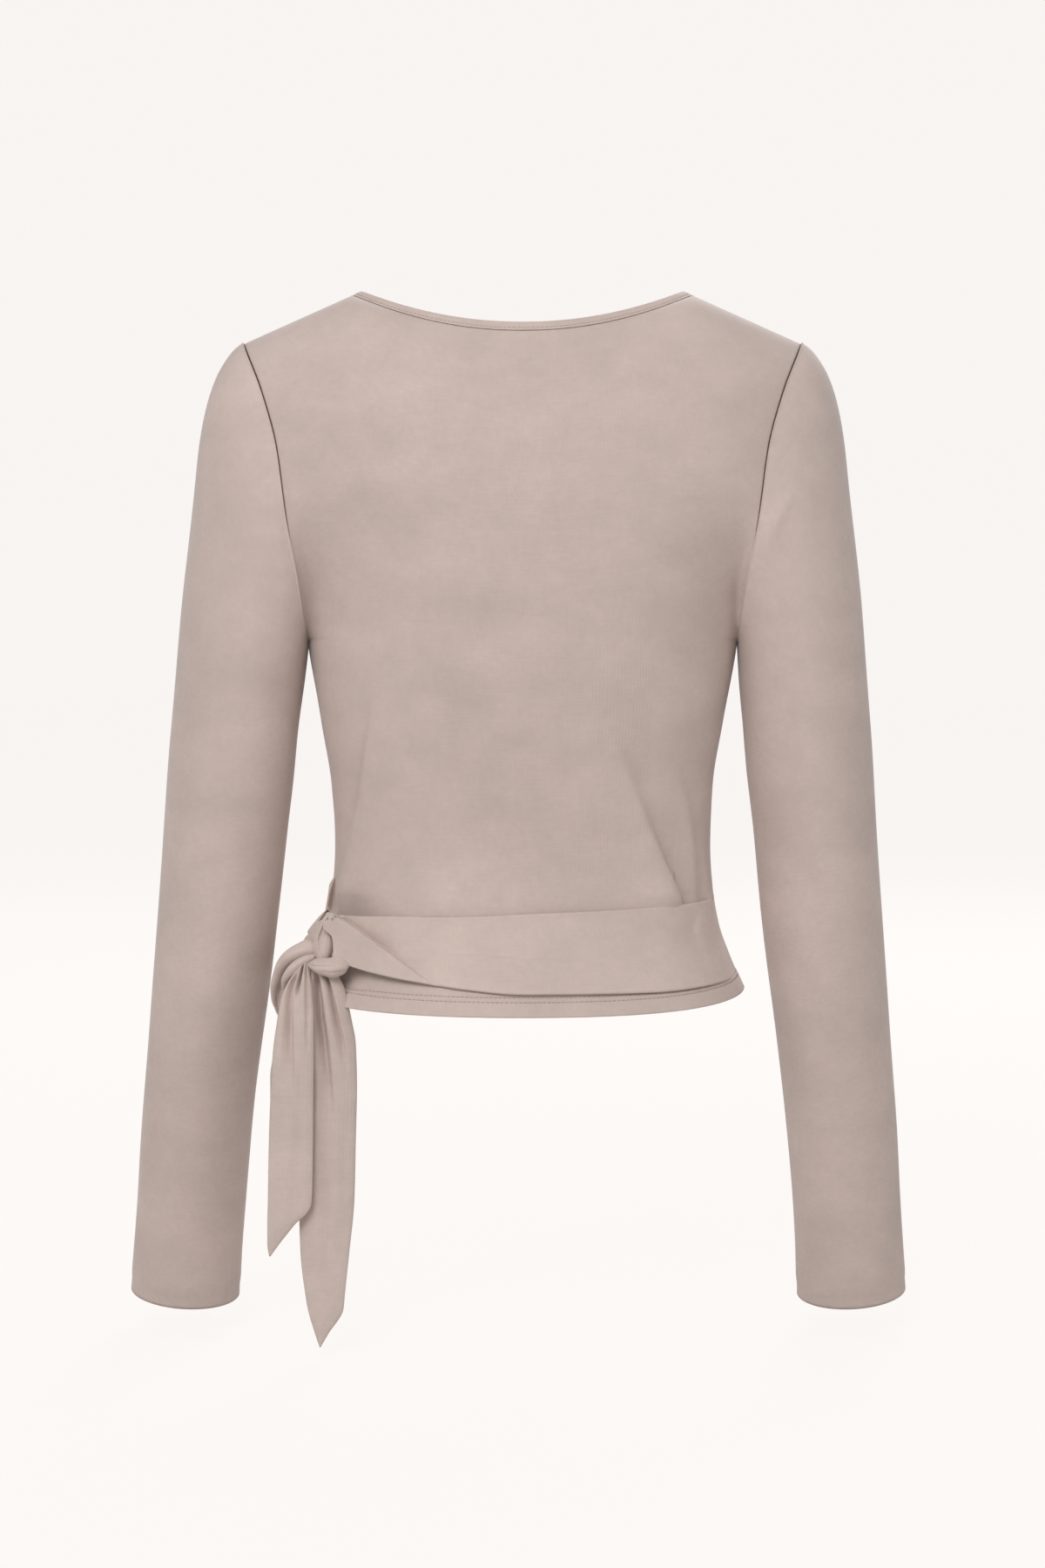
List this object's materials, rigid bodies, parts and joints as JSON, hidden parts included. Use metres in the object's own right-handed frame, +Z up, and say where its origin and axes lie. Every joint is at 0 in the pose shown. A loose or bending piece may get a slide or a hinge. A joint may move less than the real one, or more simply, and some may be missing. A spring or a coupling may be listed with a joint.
{
  "type": "wrap cardigan",
  "caption": "Cropped long-sleeved wrap cardigan in fine jersey, filled out as worn and hollow, with a self tie round the waist knotted at the wearer's left hip.",
  "frame": {"origin": "between the two neck-shoulder points, level with them, where the wearer's shoulders hold the garment up", "axes": "+Z up; +X to the wearer's right; +Y to the wearer's front, so the back of the garment faces -Y"},
  "size_m": [0.5386, 0.203, 0.7049],
  "materials": {
    "jersey_body": "matte fine jersey, faintly mottled",
    "jersey_sleeve": "matte fine jersey, faintly mottled",
    "jersey_tie": "matte fine jersey, two layers"
  },
  "bodies": {
    "root": {"back": "jersey_body", "front_right": "jersey_body", "front_left": "jersey_body", "sleeve_left": "jersey_sleeve", "sleeve_right": "jersey_sleeve", "neck_binding_back": "jersey_body", "neck_binding_right": "jersey_body", "neck_binding_left": "jersey_body", "tie_across_back": "jersey_tie", "tie_from_front": "jersey_tie", "knot_wrap_up": "jersey_tie", "knot_wrap_over": "jersey_tie", "knot_loop": "jersey_tie", "tie_end_short": "jersey_tie", "tie_end_long": "jersey_tie"}
  },
  "joints": []
}
